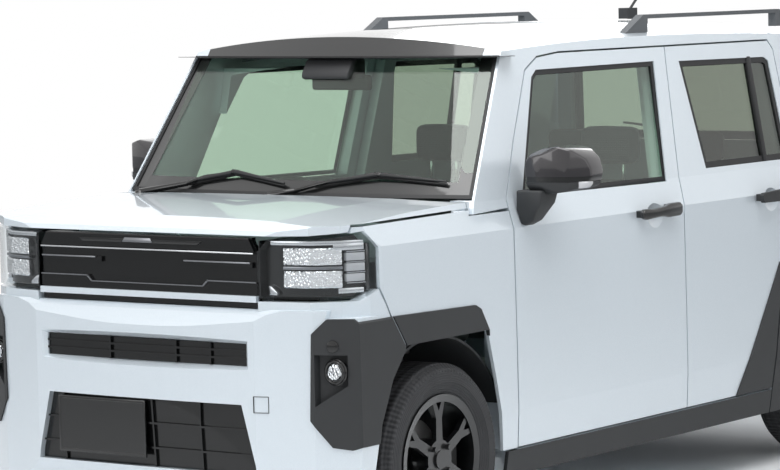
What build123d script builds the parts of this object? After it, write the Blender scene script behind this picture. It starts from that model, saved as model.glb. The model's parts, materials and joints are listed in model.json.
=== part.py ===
from build123d import *
from math import degrees
import os

# A kei-class boxy crossover car, real size, in millimetres.
# The front of the car faces -Y, its left side is +X and up is +Z.
# The origin is on the ground, under the middle of the car's length and width.

# Driving dimensions
LENGTH = 3395
WIDTH = 1475
RAIL_Z = 1622
WHEELBASE = 2460
TRACK = 1300
FRONT_AXLE_Y = -1142
REAR_AXLE_Y = FRONT_AXLE_Y + WHEELBASE
TYRE_RADIUS = 296
WHEEL_X = TRACK / 2

HALF_LENGTH = LENGTH / 2
HALF_WIDTH = WIDTH / 2

# Depths, measured inwards from the outer skin
SKIN = 12
DOOR_DEPTH = 55
FRAME_OUTER = 58
FRAME_DEPTH = 98
GLASS_INSET = 9
GLASS = 5
BUMPER_DEPTH = 34
POCKET_DEPTH = 20
LAMP_DEPTH = 112
HOOD_DEPTH = 22
ROOF_DEPTH = 26
TAILGATE_DEPTH = 48
GAP = 6
PROUD = 5
DOOR_STEP = 16
APERTURE_STEP = 34

# Heights of the main lines of the body
SILL_Z = 281
BELT_Z = 1068
SHOULDER_Z = 975

# Body side seen from the front, as (half width, height)
SIDE_SECTION = [
    (690, -120), (716, 200), (729, SILL_Z), (735, 402), (HALF_WIDTH - 4, 640), (729, SHOULDER_Z),
    (701, BELT_Z), (630, 1462), (596, 1650),
]
# Half of the body's outline seen from above, as (half width, distance along)
NOSE_CORNER = (432, -1664)
PLAN_LEFT = [
    NOSE_CORNER, (600, -1630), (676, -1572), (720, -1490), (HALF_WIDTH, -1400), (HALF_WIDTH, 1000),
    (722, 1480), (694, 1645), (650, 1676), (420, 1692),
]
TAIL_CORNER = PLAN_LEFT[-1]
BUMPER_PLAN = [(430, -1684), (612, -1632), (735, -1566), (HALF_WIDTH, -1540), *PLAN_LEFT[5:]]

# Nose and tail lines seen from the side, as (distance along, height)
NOSE_LINE = [
    (-1666, -120), (-1666, 820), (-1664, 1004), (-1650, 1028), (-1610, 1050), (-1540, 1066), (-1400, 1140),
]
BUMPER_LINE = [
    (-1600, -120), (-1650, 195), (-1684, 300), (-1697, 500), (-1697, 735), (-1690, 752), (-1673, 782),
    (-1655, 796),
]
TAIL_LINE = [
    (1640, -120), (1690, 250), (1697, 560), (1672, 600), (1660, 1000), (1648, 1080), (1566, 1520),
    (1530, 1700),
]

# Windscreen: the middle of its foot, its rake and how far its sides curve back
SCREEN_FOOT = (-1000, 1060)
SCREEN_RAKE = (294, 442)
SCREEN_SAG = 78
SCREEN_CORNERS = [(689, 1076), (609, 1512)]

# Roof and hood: place and height of the peak, arcs ahead of it and behind it, and the section across
# the car as the half width and drop of its middle part and of its edges
ROOF = (250, 1602, 16000, 26000, 560, 40.4, 800, 83)
HOOD = (-850, 1088, 9000, 9000, 460, 4, 800, 21)
ROOF_EDGE = 560
HEADER_REAR_Y = -302
ROOF_REAR_Y = 1470
ROOF_GLASS = (-296, 293, 478)

# Shut lines seen from the side, as (distance along, height)
FRONT_DOOR = [
    (-738, SILL_Z), (300, SILL_Z), (300, 955), (315, 1066), (363, 1514), (-300, 1514), (-430, 1503),
    (-511, 1463), (-642, 1247), (-738, 1064),
]
REAR_DOOR = [
    (300, SILL_Z), (880, SILL_Z), (936, 556), (985, 700), (1085, 850), (1125, 960), (1135, 1075),
    (1105, 1480), (1075, 1514), (363, 1514), (315, 1066), (300, 955),
]
BOTH_DOORS = [FRONT_DOOR[0], *REAR_DOOR[1:9], *FRONT_DOOR[5:]]
FRONT_WINDOW = [(-646, 1068), (232, 1060), (280, 1465), (-448, 1462), (-480, 1440)]
REAR_WINDOW = [(503, 1088), (1085, 1088), (1060, 1440), (1030, 1455), (442, 1460)]
FRONT_ARCH = [
    (-1520, -150), (-1500, 300), (-1472, 446), (-1411, 574), (-1331, 669), (-900, 672), (-857, 510),
    (-832, 400), (-820, 274), (-820, -150),
]
FRONT_MOULDING = [
    (-1334, 600), (-1334, 672), (-1397, 762), (-965, 755), (-937, 741), (-895, 672), (-895, 600),
]
REAR_ARCH = [
    (985, -150), (992, 274), (1015, 446), (1027, 510), (1070, 672), (1530, 672), (1595, 540),
    (1628, 400), (1634, 280), (1634, -150),
]
REAR_MOULDING = [
    (886, -150), (886, SILL_Z), (942, 556), (990, 738), (1080, 752), (1560, 752), (1625, 690), (1660, 560),
    (1672, 400), (1672, -150),
]
REAR_CLADDING = [(628, 279), (776, 483), (948, 727), (1100, 745), (1100, 279)]
FENDER = [
    (-741, 282), (-741, 1250), (-956, 1250), (-956, 1046), (-1537, 1038), (-1543, 1021), (-1507, 1026),
    (-1454, 974), (-1452, 854), (-1404, 768), (-1336, 671), (-1336, 282),
]
BUMPER = [(-1800, 190), (-1800, 820), (-1520, 820), (-1458, 850), (-1410, 765), (-1340, 671), (-1340, 190)]
CORNER = [(-1800, 340), (-1800, 800), (-1410, 800), (-1410, 765), (-1342, 671), (-1342, 340)]
CORNER_FRONT = [
    (608, 727), (650, 771), (722, 771), (760, 735), (760, 470), (742, 392), (712, 382), (660, 390),
    (600, 470),
]
FOG_POCKET = [(616, 512), (616, 666), (704, 664), (704, 574)]
LAMP = [(-1800, 826), (-1517, 826), (-1459, 857), (-1461, 971), (-1510, 1020), (-1640, 1004), (-1800, 1000)]
LAMP_FRONT = [(434, 826), (434, 968), (470, 1008), (800, 1040), (800, 820)]
HOOD_SIDE = [
    (-1800, 1012), (-1650, 1012), (-1549, 1023), (-1541, 1044), (-960, 1052), (-960, 1250), (-1800, 1250),
]
HOOD_PLAN = [(0, -1045), (400, -1028), (600, -1000), (700, -962), (760, -962), (760, -1800), (0, -1800)]
FRAME = [
    (-739, 196), (1700, 196), (1700, 700), (1640, 1080), (1480, 1700), (-700, 1700), (-1010, 1030),
    (-739, 1040),
]
SILL_TRIM = [(-796, 194), (-796, 276), (880, 276), (880, 194)]

# Rear panels seen from the back, as (half width, height)
TAILGATE = [(0, 560), (566, 560), (596, 640), (598, 1100), (612, 1180), (566, 1540), (558, 1700), (0, 1700)]
REAR_WINDOW_BACK = [(0, 1120), (556, 1120), (520, 1470), (0, 1478)]
REAR_LAMP = [(604, 760), (604, 1084), (800, 1084), (800, 760)]

# Door mirror from above and from the front, its foot, and the door handle with its dish
MIRROR_PLAN = [(748, -640), (758, -690), (850, -678), (918, -626), (934, -548), (926, -536), (752, -590)]
MIRROR_FRONT = [
    (745, 1082), (745, 1180), (780, 1216), (850, 1231), (900, 1214), (936, 1172), (940, 1128), (925, 1104),
    (840, 1078),
]
MIRROR_FOOT = [(722, 984), (738, 978), (772, 994), (812, 1056), (816, 1090), (712, 1090), (712, 1030)]
FOOT_SIDE = [(-716, 1026), (-690, 976), (-646, 976), (-600, 1092), (-666, 1092), (-700, 1062)]
HANDLE = [
    (-12, 962), (0, 950), (222, 947), (234, 957), (232, 984), (220, 991), (150, 990), (0, 984), (-12, 976),
]
DISH = (112, 966, 150, 9)
HANDLE_STEP = 790

# Front openings seen from the front, as (half width, height)
GRILLE = [(0, 798), (426, 798), (426, 966), (400, 1006), (0, 1006)]
GRILLE_BAND = [(0, 966), (420, 966), (398, 1006), (0, 1006)]
GRILLE_BAR = [(178, 918), (410, 918), (410, 934), (178, 934)]
GRILLE_STEP = [(0, 838), (426, 838), (426, 876), (232, 876), (216, 857), (0, 857)]
STRIP = [(0, 816), (426, 816), (426, 835), (0, 835)]
SLOT = [(-392, 625), (392, 625), (392, 693), (-392, 693)]
SLOT_MOUTH = [(-426, 605), (426, 605), (426, 714), (-426, 714)]
INTAKE = [(0, 300), (430, 300), (426, 330), (379, 511), (0, 511)]
FOG_LAMP = (668, -1589, 614)

# Steering, wheels and running gear
KINGPIN_X = 530
POST_RADIUS = 24
STUB_RADIUS = 20
STUB_END = 32
HUB_BORE = 26
LUG_CIRCLE = 50
STEERING_WHEEL = (-355, -395, 930)
STEERING_TILT = 24
FRONT_WELL = (385, 374)
REAR_WELL = (520, 330)
LOAD_FLOOR_Z = 434


def prism_yz(points, x0, x1, grow=0.0):
    """A prism of a side-view outline, moved outwards by an amount, between two distances across."""
    face = Polygon(*points, align=None)
    if grow:
        face = offset(face, amount=grow, kind=Kind.INTERSECTION)
    return extrude(Plane.YZ.offset(x0) * face, amount=x1 - x0, dir=(1, 0, 0))


def prism_xz(points, y0, y1, grow=0.0):
    """A prism of a front-view outline, moved outwards by an amount, between two distances along."""
    face = Polygon(*points, align=None)
    if grow:
        face = offset(face, amount=grow, kind=Kind.INTERSECTION)
    plane = Plane((0, y1, 0), x_dir=(1, 0, 0), z_dir=(0, -1, 0))
    return extrude(plane * face, amount=y1 - y0, dir=(0, -1, 0))


def prism_xy(points, z0, z1, grow=0.0):
    """A prism of a plan outline, moved outwards by an amount, between two heights."""
    face = Polygon(*points, align=None)
    if grow:
        face = offset(face, amount=grow, kind=Kind.INTERSECTION)
    return extrude(Plane.XY.offset(z0) * face, amount=z1 - z0, dir=(0, 0, 1))


def whole(points):
    """A left half outline joined to its mirror image."""
    return [*points, *[(-x, y) for x, y in reversed(points) if x]]


def block(x0, x1, y0, y1, z0, z1):
    """A box between two corners."""
    return Pos((x0 + x1) / 2, (y0 + y1) / 2, (z0 + z1) / 2) * Box(x1 - x0, y1 - y0, z1 - z0)


def bar(x, y, z, radius, length, axis="x"):
    """A round bar centred on a point."""
    turn = {"x": Rot(0, 90, 0), "y": Rot(90, 0, 0), "z": Rot(0, 0, 0)}[axis]
    return Pos(x, y, z) * turn * Cylinder(radius, length)


def mirrored(shape):
    """The same piece on the car's right side."""
    return mirror(shape, about=Plane.YZ)


def both(shape):
    """A left piece and its mirror image, as one node of separate solids."""
    return Compound(children=[*shape.solids(), *mirrored(shape).solids()])


def side_walls(inset):
    """The section of the body's sides, run along the whole car."""
    face = offset(Polygon(*whole(SIDE_SECTION), align=None), amount=-inset, kind=Kind.INTERSECTION)
    plane = Plane((0, 2000, 0), x_dir=(1, 0, 0), z_dir=(0, -1, 0))
    return extrude(plane * face, amount=4000, dir=(0, -1, 0))


def plan_walls(inset, outline=PLAN_LEFT):
    """The car's outline from above, run up through its height."""
    left = Polyline(*outline)
    right = mirror(left, about=Plane.YZ)
    nose_x, nose_y = outline[0]
    nose_arc = ThreePointArc((-nose_x, nose_y), (0, -HALF_LENGTH), (nose_x, nose_y))
    tail_arc = ThreePointArc((-TAIL_CORNER[0], TAIL_CORNER[1]), (0, HALF_LENGTH), TAIL_CORNER)
    face = make_face([left, nose_arc, right, tail_arc])
    face = offset(face, amount=-inset, kind=Kind.INTERSECTION)
    return extrude(Plane.XY.offset(-200) * face, amount=2200, dir=(0, 0, 1))


def crown(surface, inset):
    """Everything under a surface arched along the car and across it."""
    peak_y, peak_z, radius_ahead, radius_behind, middle, middle_drop, half, edge_drop = surface
    top = peak_z - inset
    shoulder = top - middle_drop
    edge = top - edge_drop
    arc = ThreePointArc((-middle, shoulder), (0, top), (middle, shoulder))
    sides = Polyline(
        (middle, shoulder), (half, edge), (half, -400), (-half, -400), (-half, edge), (-middle, shoulder)
    )
    plane = Plane((0, peak_y, 0), x_dir=(1, 0, 0), z_dir=(0, -1, 0))
    face = plane * make_face([arc, sides])
    reach = 2600
    halves = []
    for radius, way in ((radius_ahead, 1), (radius_behind, -1)):
        axis = Axis((0, peak_y, peak_z - radius), (1, 0, 0))
        halves.append(revolve(face, axis, way * degrees(reach / radius)))
    return halves[0] + halves[1]


def screen_limit(inset):
    """Everything behind the curved plane of the windscreen."""
    rake = Vector(0, *SCREEN_RAKE).normalized()
    plane = Plane((0, *SCREEN_FOOT), x_dir=(1, 0, 0), z_dir=rake)
    half = 760
    arc = ThreePointArc((-half, SCREEN_SAG + inset), (0, inset), (half, SCREEN_SAG + inset))
    rest = Polyline((half, SCREEN_SAG + inset), (half, 4500), (-half, 4500), (-half, SCREEN_SAG + inset))
    return extrude(plane * make_face([arc, rest]), amount=3500, both=True)


def line_limit(line, inset, far):
    """Everything on the car's side of a line seen from the side."""
    ends = [(far, line[-1][1]), (far, line[0][1])]
    return prism_yz([*line, *ends], -900, 900, -inset)


def cabin(inset):
    """The cabin's form, moved inwards by an inset."""
    form = side_walls(inset) & plan_walls(inset)
    form = form & crown(ROOF, inset) & screen_limit(inset)
    return form & line_limit(TAIL_LINE, inset, -3000)


def nose(inset):
    """The form of the hood, fenders and front bumper, moved inwards by an inset."""
    form = side_walls(inset) & plan_walls(inset)
    form = form & line_limit(NOSE_LINE, inset, 3000)
    return form & crown(HOOD, inset)


def bumper_form(inset):
    """The form of the front bumper, boxier than the nose above it, moved inwards by an inset."""
    form = side_walls(inset) & plan_walls(inset, BUMPER_PLAN)
    return form & line_limit(BUMPER_LINE, inset, 3000)


def funnel(outline, mouth, y0, y1):
    """A flared pocket: a front-view outline at its bottom and a wider one at its mouth."""
    bottom = Plane((0, y1, 0), x_dir=(1, 0, 0), z_dir=(0, -1, 0)) * Polygon(*outline, align=None)
    top = Plane((0, y0, 0), x_dir=(1, 0, 0), z_dir=(0, -1, 0)) * Polygon(*mouth, align=None)
    return loft([bottom, top], ruled=True)


def left(shape, x0=250):
    """The part of a shape on the car's left side, from a distance outwards."""
    return shape & block(x0, 1100, -2000, 2000, -200, 2000)


def cut_to(wall, points, grow=0.0):
    """The part of a left wall inside a side-view outline."""
    return wall & prism_yz(points, 200, 1100, grow)


# Openings of the bumper with the heights and places of their ribs
OPENINGS = [(SLOT, (648, 671), (-130, 130, 260)), (whole(INTAKE), (358, 434), (-330, 30, 215))]

nodes = {}

# Walls of the cabin and of the nose, as layers of their forms
cabin_skin = cabin(0)
cabin_sheet = cabin(SKIN)
cabin_frame = cabin(FRAME_OUTER)
cabin_near = cabin(-20)
outer_sheet = left(cabin_skin - cabin_sheet)
door_core = left(cabin_sheet - cabin(DOOR_DEPTH))
frame_wall = left(cabin_skin - cabin(FRAME_DEPTH))
glass_layer = cabin(GLASS_INSET) - cabin(GLASS_INSET + GLASS)
glass_wall = left(glass_layer)
proud_layer = cabin(-PROUD) - cabin(8)
proud_wall = left(proud_layer)
trim_room = left(cabin_near - cabin(8.5))
nose_skin = nose(0)
nose_sheet = nose(SKIN)
nose_wall = left(nose_skin - nose_sheet)
nose_trim = left(nose(-PROUD) - nose(8))
nose_room = left(nose(-20) - nose(8.5))

# Doors: an outer sheet and a narrower core, with the window cut through
DOORS = [
    ("front", FRONT_DOOR, FRONT_WINDOW),
    ("rear", REAR_DOOR, REAR_WINDOW),
]
aperture = None
for place, outline, window in DOORS:
    door = cut_to(outer_sheet, outline, -GAP / 2) + cut_to(door_core, outline, -DOOR_STEP)
    door -= prism_yz(window, 200, 1100)
    dish_y, dish_z, dish_radius, dish_depth = DISH
    dish_x = 729 + dish_radius - dish_depth
    door -= Pos(dish_x, dish_y + (0 if place == "front" else HANDLE_STEP), dish_z) * Sphere(dish_radius)
    if place == "rear":
        door -= cut_to(trim_room, REAR_CLADDING, 0.5)
    nodes[f"{place}_door_left"] = door
    nodes[f"{place}_door_glass_left"] = cut_to(glass_wall, window, -0.5)
    hole = prism_yz(outline, 200, 1100, -APERTURE_STEP)
    aperture = hole if aperture is None else aperture + hole

# Mirrors, handles and the cladding on the rear doors
mirror_head = prism_xy(MIRROR_PLAN, 1060, 1250) & prism_xz(MIRROR_FRONT, -720, -500)
mirror_foot = prism_xz(MIRROR_FOOT, -716, -590) & prism_yz(FOOT_SIDE, 600, 900)
mirror_piece = mirror_head + mirror_foot - cabin(-0.5)
handle = prism_yz(HANDLE, 752, 768)
for grip_y in (4, 214):
    handle += block(736, 754, grip_y - 12, grip_y + 12, 956, 980)
handle -= cabin(-0.5)
nodes["front_door_fittings_left"] = Compound(children=[mirror_piece, handle])
cladding = cut_to(proud_wall, REAR_CLADDING) & prism_yz(REAR_DOOR, 200, 1100, -GAP / 2)
nodes["rear_door_fittings_left"] = Compound(children=[*cladding.solids(), Pos(0, HANDLE_STEP, 0) * handle])

# Side frame: the outer panel round the doors, with the pillars, sill and roof side behind them
doors_cut = prism_yz(BOTH_DOORS, 200, 1100, GAP / 2)
frame = cut_to(frame_wall, FRAME) - (doors_cut & left(cabin_near - cabin_frame)) - aperture
frame -= prism_yz(REAR_ARCH, 200, 1100, 8)
frame -= cut_to(trim_room, REAR_MOULDING, 0.5)
frame -= cut_to(trim_room, SILL_TRIM, 0.5)
frame -= block(200, 1100, 1500, 1900, 0, 560)
tail_hole = prism_xz(whole(TAILGATE), ROOF_REAR_Y + 2, 1900, GAP)
frame -= tail_hole
frame -= block(0, ROOF_EDGE + 1, -800, 1500, 1470, 1700)
screen_cut = prism_xz(whole(SCREEN_CORNERS), -1200, -520, 3)
frame -= screen_cut & (cabin_near - cabin(16))
frame -= prism_xz(whole([(640, 1024), (560, 1470)]), -1200, -560)
lamp_box = prism_xz(REAR_LAMP, 1520, 1800)
frame -= prism_xz(REAR_LAMP, 1516, 1800, 2) & (cabin_near - cabin(52))
nodes["side_frame_left"] = frame.solids().sort_by(SortBy.VOLUME)[-1]

# Trims along the sill and round the wheel arches
rear_moulding = cut_to(proud_wall, REAR_MOULDING) - prism_yz(REAR_ARCH, 200, 1100)
rear_moulding -= prism_yz(REAR_DOOR, 200, 1100, GAP / 2)
rear_moulding &= block(200, 1100, 800, 1800, 194, 1000)
front_moulding = cut_to(nose_trim, FRONT_MOULDING) - prism_yz(FRONT_ARCH, 200, 1100)
front_moulding &= block(600, 1100, -1500, -700, SILL_Z, 800)
mouldings = [cut_to(proud_wall, SILL_TRIM), rear_moulding, front_moulding]
nodes["body_claddings"] = Compound(children=[s for piece in mouldings for s in both(piece).solids()])

# Fenders
fender = cut_to(nose_wall, FENDER) & (block(640, 1100, -2000, 0, 0, 2000))
fender -= prism_yz(FRONT_ARCH, 200, 1100)
fender -= cut_to(nose_room, FRONT_MOULDING, 0.5)
fender -= cabin_near & block(200, 1100, -2000, 0, 1030, 2000)
nodes["front_fenders"] = both(fender)

# Front bumper with its shelf, slot and intake, and the strip under the grille
bumper_skin = bumper_form(0)
bumper_core = bumper_form(BUMPER_DEPTH)
bumper = (bumper_skin - bumper_core) & prism_yz(BUMPER, -1100, 1100)
above_corners = both(prism_xz([(644, 772), (900, 772), (900, 860), (668, 860)], -1900, -1300))
bumper -= above_corners - nose_skin
band = (nose_skin - nose(BUMPER_DEPTH)) & prism_yz(BUMPER, -1100, 1100)
band &= block(434, 1100, -1900, -1300, 772, 900) + block(-1100, -434, -1900, -1300, 772, 900)
bumper -= nose(BUMPER_DEPTH) & block(-1100, 1100, -1900, -1300, 740, 800)
bumper += band
bumper -= prism_xz(SLOT, -1900, -1500) + funnel(SLOT, SLOT_MOUTH, -1704, -1672)
bumper -= prism_xz(whole(INTAKE), -1900, -1500)
corner_outline = prism_xz(CORNER_FRONT, -1900, -1300) & prism_yz(CORNER, 0, 1100)
corner_cut = prism_xz(CORNER_FRONT, -1900, -1300, 0.5) & prism_yz(CORNER, 0, 1100, 0.5)
bumper -= both(corner_cut)
arches = prism_yz(FRONT_ARCH, -1100, 1100)
bumper -= arches
strip = (nose(2) - nose(17.5)) & prism_xz(whole(STRIP), -1900, -1500)
nodes["front_bumper"] = Compound(children=[*bumper.solids(), *strip.solids()])

# Corner pieces of the bumper, each with a pocket and a fog lamp
corner_body = left(bumper_form(-PROUD) - (bumper_core & nose(-0.5)))
bumper_corner = (corner_body & corner_outline) - arches
bumper_corner -= prism_xz(FOG_POCKET, -1800, -1400) - bumper_form(POCKET_DEPTH)
bumper_corner += bar(*FOG_LAMP, 30, 30, "y")
nodes["bumper_corners"] = both(bumper_corner)

# Grille: a panel with a raised band, side bars and a stepped foot, and ribbed panels in the bumper's openings
grille = (nose(18) - nose(32)) & prism_xz(whole(GRILLE), -1900, -1500)
for outline, face in ((GRILLE_BAND, 5), (GRILLE_STEP, 11)):
    grille += (nose(face) - nose(19)) & prism_xz(whole(outline), -1900, -1500)
grille_bar = (nose(9) - nose(19)) & prism_xz(GRILLE_BAR, -1900, -1500)
grille += grille_bar + mirrored(grille_bar)
panels = [grille]
inner_layer = bumper_form(20) - bumper_form(31)
rib_layer = bumper_form(12) - bumper_form(21)
for outline, rib_heights, rib_places in OPENINGS:
    opening = prism_xz(outline, -1900, -1500, -0.5)
    panel = inner_layer & opening
    for rib_z in rib_heights:
        panel += rib_layer & opening & block(-500, 500, -1900, -1500, rib_z - 3, rib_z + 3)
    for rib_x in rib_places:
        panel += rib_layer & opening & block(rib_x - 3, rib_x + 3, -1900, -1500, 200, 800)
    panels.append(panel)
nodes["grille"] = Compound(children=[solid for piece in panels for solid in piece.solids()])

# Headlamps
lamp = left(nose(1) - nose(LAMP_DEPTH), 434) & prism_yz(LAMP, 200, 1100, -2)
lamp &= prism_xz(LAMP_FRONT, -1900, -1300)
nodes["headlamps"] = both(lamp)

# Hood
hood = (nose_skin - nose(HOOD_DEPTH)) & prism_yz(HOOD_SIDE, -1100, 1100, -2)
hood &= prism_xy(whole(HOOD_PLAN), 900, 1300)
nodes["hood"] = hood

# Cowl between the hood and the windscreen, and the two wipers
cowl = (nose(10) - nose(22)) & block(-636, 636, -1045, -760, 900, 1200)
cowl -= prism_xy(whole(HOOD_PLAN), 900, 1300, 5) + cabin(-2)
nodes["cowl"] = cowl

# Windscreen and the dark header behind it
screen = glass_layer & prism_xz(whole(SCREEN_CORNERS), -1200, -540)
screen &= prism_yz([(-1300, 1000), (-900, 1000), (-500, 1600), (-1300, 1600)], -900, 900)
nodes["windscreen"] = screen
roof_layer = cabin_skin - cabin(ROOF_DEPTH)
header = roof_layer & block(-ROOF_EDGE, ROOF_EDGE, -760, HEADER_REAR_Y, 1514, 1700)
nodes["roof_header"] = header
roof = roof_layer & block(-ROOF_EDGE, ROOF_EDGE, HEADER_REAR_Y + 1, ROOF_REAR_Y, 1480, 1700)
glass_y0, glass_y1, glass_half = ROOF_GLASS
roof -= block(-glass_half - 3, glass_half + 3, -400, glass_y1 + 3, 1400, 1700)
nodes["roof_panel"] = roof
roof_pane = (cabin(1) - cabin(9)) & block(-glass_half, glass_half, glass_y0, glass_y1, 1480, 1700)
nodes["roof_glass"] = roof_pane

# Roof rails and antenna
RAIL_SIDE = [(205, 1560), (325, RAIL_Z), (1270, RAIL_Z), (1380, 1560)]
RAIL_GAP = [(352, 1530), (352, RAIL_Z - 14), (1240, RAIL_Z - 14), (1240, 1530)]
rail = prism_yz(RAIL_SIDE, 534, 564)
rail -= prism_yz(RAIL_GAP, 500, 600)
rail -= cabin(-0.5)
nodes["roof_rails"] = both(rail)
antenna = Pos(-92, 1279, 1612) * Box(40, 70, 40)
antenna += Pos(-92, 1284, 1620) * Rot(-52, 0, 0) * Pos(0, 0, 85) * Cylinder(5, 170)
nodes["antenna"] = antenna - cabin(-0.5)

# Tailgate with its window, rear lamps and rear bumper
tail_layer = cabin_skin - cabin(TAILGATE_DEPTH)
tail_form = prism_xz(whole(TAILGATE), ROOF_REAR_Y + 8, 1900)
back_window = prism_xz(whole(REAR_WINDOW_BACK), 1500, 1900)
tailgate = tail_layer & tail_form
tailgate -= back_window
nodes["tailgate"] = tailgate
nodes["tailgate_glass"] = glass_layer & prism_xz(whole(REAR_WINDOW_BACK), 1500, 1900, -0.5)
nodes["rear_lamps"] = both(left(cabin(-2) - cabin(50)) & lamp_box)
rear_bumper = (cabin_skin - cabin(40)) & block(-1100, 1100, 1560, 1900, 196, 554)
rear_bumper -= prism_yz(REAR_ARCH, -1100, 1100, 0)
rear_bumper -= prism_yz(REAR_MOULDING, -1100, 1100, 0.5) & (cabin_near - cabin(8.5))
nodes["rear_bumper"] = rear_bumper

# Wheelhouses, open on the outer side
wells = []
WELLS = [
    (FRONT_AXLE_Y, *FRONT_WELL, 700, nose(BUMPER_DEPTH + 2), 240),
    (REAR_AXLE_Y, *REAR_WELL, 636, cabin_frame, LOAD_FLOOR_Z),
]
for axle_y, inner_x, radius, outer_x, limit, wall_z in WELLS:
    middle = (inner_x + outer_x) / 2
    drum = bar(middle, axle_y, TYRE_RADIUS, radius + 8, outer_x - inner_x)
    drum -= bar(middle + 8, axle_y, TYRE_RADIUS, radius, outer_x - inner_x)
    drum &= block(0, 1100, -2000, 2000, wall_z, 1000) & limit
    wells.append(drum)
wells[0] -= block(636, 1100, -792, 0, 0, 1000)
wells[0] -= Pos(KINGPIN_X, FRONT_AXLE_Y, 700) * Cylinder(86, 200)
wells[0] -= bar(390, FRONT_AXLE_Y, TYRE_RADIUS, 34, 40)
nodes["wheelhouses"] = Compound(children=[s for piece in wells for s in both(piece).solids()])

# Floor, its tunnel, toe board and load floor
floor = block(-612, 612, -752, 760, 236, 250)
floor += block(-100, 100, -752, 760, 249, 300) - block(-86, 86, -800, 761, 230, 286)
floor += block(-505, 505, 760, 774, 236, LOAD_FLOOR_Z)
floor += block(-505, 505, 760, 1600, LOAD_FLOOR_Z - 14, LOAD_FLOOR_Z)
floor += block(-378, 378, -766, -752, 236, 700)
nodes["floor_pan"] = floor

# Front body: bulkhead, side members, strut towers, hinge pillars and radiator support
front_body = block(-640, 640, -775, -761, 701, 980)
half_body = block(300, 372, -1526, -768, 380, 470)
tower = Pos(KINGPIN_X, FRONT_AXLE_Y, 795) * Cylinder(96, 220)
tower -= Pos(KINGPIN_X, FRONT_AXLE_Y, 780) * Cylinder(86, 226)
half_body += tower - block(0, 1100, -2000, 0, 0, 690)
half_body += block(340, 372, -1240, -768, 469, 800)
half_body += block(360, 450, -1170, -1110, 780, 800)
half_body += block(644, 700, -790, -748, 282, 990)
half_body += block(600, 660, -790, -762, 720, 980)
pieces = front_body + half_body + mirrored(half_body)
pieces += block(-372, 372, -1526, -1508, 300, 480) + block(-372, 372, -1526, -1508, 880, 936)
pieces += block(-372, -336, -1526, -1508, 300, 936) + block(336, 372, -1526, -1508, 300, 936)
nodes["front_body"] = pieces

# Engine, exhaust and fuel tank
nodes["engine"] = chamfer(block(-280, 280, -1490, -1010, 300, 880).edges(), 25)
pipe = bar(-150, 300, 214, 22, 2300, "y")
muffler = fillet(block(-400, -60, 1452, 1590, 250, 372).edges().filter_by(Axis.X), 50)
nodes["exhaust"] = (pipe & block(-400, 0, -900, 1440, 0, 400)) + bar(-150, 1450, 240, 22, 60, "y") + muffler
nodes["fuel_tank"] = chamfer(block(-90, 440, 790, 1050, 268, 412).edges(), 22)

# Front suspension: subframe, lower arms, half shafts, springs and steering rack
suspension = block(-300, 300, -1250, -950, 204, 244) + bar(0, -985, 262, 22, 740)
half = block(290, 552, FRONT_AXLE_Y - 34, FRONT_AXLE_Y + 34, 180, 200)
half += block(290, 330, -1200, -1080, 180, 240)
spring = bar(KINGPIN_X, FRONT_AXLE_Y, 745, 62, 260, "z") - bar(KINGPIN_X, FRONT_AXLE_Y, 745, 50, 262, "z")
spring += Pos(KINGPIN_X, FRONT_AXLE_Y, 868) * Cylinder(80, 14)
rod = bar(KINGPIN_X, FRONT_AXLE_Y, 750, 11, 250, "z")
front_set = [suspension + half + mirrored(half), *both(spring + rod).solids()]
shaft = bar(392, FRONT_AXLE_Y, TYRE_RADIUS, 14, 200)
front_set += both(shaft).solids()
nodes["front_suspension"] = Compound(children=[s for item in front_set for s in item.solids()])

# Knuckles that carry the front wheels
knuckle = bar(KINGPIN_X, FRONT_AXLE_Y, 405, POST_RADIUS, 398, "z")
knuckle += block(KINGPIN_X, 622, FRONT_AXLE_Y - 30, FRONT_AXLE_Y + 30, TYRE_RADIUS - 42, TYRE_RADIUS + 42)
stub_x = WHEEL_X + STUB_END
knuckle += bar((KINGPIN_X + stub_x) / 2, FRONT_AXLE_Y, TYRE_RADIUS, STUB_RADIUS, stub_x - KINGPIN_X)
caliper = block(612, WHEEL_X + 22, FRONT_AXLE_Y + 94, FRONT_AXLE_Y + 146, TYRE_RADIUS - 44, TYRE_RADIUS + 44)
caliper -= block(WHEEL_X - 17, WHEEL_X + 9, FRONT_AXLE_Y, FRONT_AXLE_Y + 132, 0, 600)
knuckle += caliper
knuckle += block(600, 616, FRONT_AXLE_Y + 20, FRONT_AXLE_Y + 146, TYRE_RADIUS - 36, TYRE_RADIUS + 36)
nodes["knuckle_left"] = knuckle

# Rear axle: beam, trailing arms, stub axles, springs and dampers
axle = block(-470, 470, 1090, 1150, 272, 326)
arm = prism_yz([(850, 330), (850, 392), (1010, 352), (1370, 332), (1370, 258), (1000, 276)], 440, 480)
arm += bar((440 + stub_x) / 2, REAR_AXLE_Y, TYRE_RADIUS, STUB_RADIUS, stub_x - 440)
arm += bar(546, REAR_AXLE_Y, TYRE_RADIUS, 46, 140)
arm += bar(460, 1430, 366, 18, 96, "z") + block(440, 480, 1360, 1450, 300, 330)
arm += Pos(400, 1230, 373) * Cylinder(46, 92) - Pos(400, 1230, 380) * Cylinder(36, 92)
arm += block(350, 450, 1180, 1280, 316, 330) + block(380, 450, 1140, 1190, 290, 328)
axle += arm + mirrored(arm)
nodes["rear_axle"] = axle

# Wheels: rim with hub, disc, spokes and lugs, and the tyre round it
RIM_SECTION = [(-71, 202), (-66, 190), (66, 190), (71, 202), (66, 178), (-66, 178)]
TYRE_SECTION = [
    (-58, 190.5), (-82.5, 240), (-78, 278), (-54, TYRE_RADIUS), (54, TYRE_RADIUS), (78, 278), (82.5, 240),
    (58, 190.5),
]
LUG = [(-9, 0), (-4.5, -8), (4.5, -8), (9, 0), (4.5, 8), (-4.5, 8)]
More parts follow.
